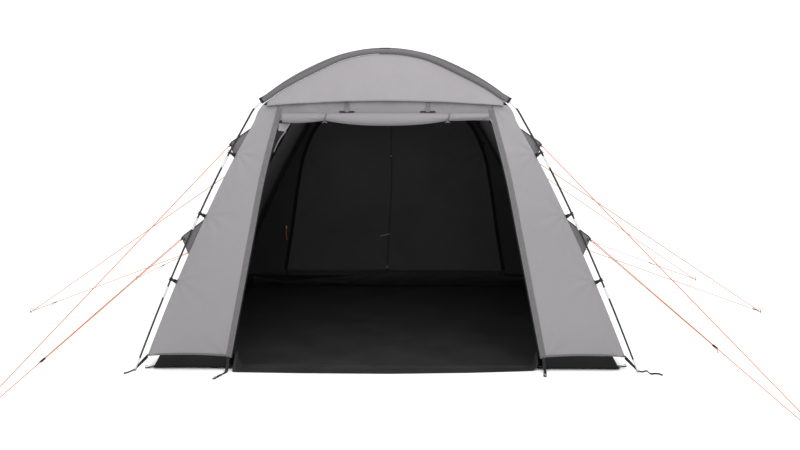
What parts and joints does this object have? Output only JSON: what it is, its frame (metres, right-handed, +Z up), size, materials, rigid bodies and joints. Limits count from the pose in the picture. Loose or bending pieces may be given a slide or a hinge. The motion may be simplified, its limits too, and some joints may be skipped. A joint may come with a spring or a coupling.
{
  "type": "drive-away awning",
  "caption": "Free-standing grey awning on outside pole hoops, with a rolled-up front door, zipped back door, groundsheet, skirts, guys and a short tunnel.",
  "frame": {"origin": "on the ground, in the middle of the front hoop", "axes": "+X across the doorway to the right, +Y from the front hoop towards the vehicle, +Z up"},
  "size_m": [6.395, 5.1231, 2.1081],
  "materials": {
    "grey_fabric": "matt coated polyester",
    "dark_trim": "matt woven",
    "black_fabric": "matt",
    "pole": "satin glass fibre",
    "guy_line": "braided cord",
    "peg": "zinc plated"
  },
  "bodies": {
    "root": {"front_pole": "pole", "middle_pole": "pole", "rear_pole": "pole", "front_pole_sleeve": "dark_trim", "middle_pole_sleeve": "dark_trim", "rear_pole_sleeve": "dark_trim", "roof_front_bay": "grey_fabric", "roof_rear_bay": "grey_fabric", "left_wall_front_bay": "grey_fabric", "left_wall_rear_bay": "grey_fabric", "right_wall_front_bay": "grey_fabric", "right_wall_rear_bay": "grey_fabric", "front_gable": "grey_fabric", "front_lintel": "grey_fabric", "left_front_panel": "grey_fabric", "right_front_panel": "grey_fabric", "left_door_tape": "dark_trim", "right_door_tape": "dark_trim", "rolled_door": "grey_fabric", "left_door_toggle": "dark_trim", "right_door_toggle": "dark_trim", "back_wall": "grey_fabric", "back_door_left_leaf": "black_fabric", "back_door_right_leaf": "black_fabric", "vehicle_tunnel": "grey_fabric", "tunnel_beading": "black_fabric", "groundsheet": "black_fabric", "mud_wall": "black_fabric", "left_front_skirt": "black_fabric", "right_front_skirt": "black_fabric", "left_side_skirt": "black_fabric", "right_side_skirt": "black_fabric", "rear_skirt": "black_fabric", "left_front_guys": "guy_line", "right_front_guys": "guy_line", "left_middle_guys": "guy_line", "right_middle_guys": "guy_line", "left_rear_guys": "guy_line", "right_rear_guys": "guy_line", "left_front_peg": "peg", "right_front_peg": "peg", "left_middle_peg": "peg", "right_middle_peg": "peg", "left_rear_peg": "peg", "right_rear_peg": "peg"}
  },
  "joints": []
}
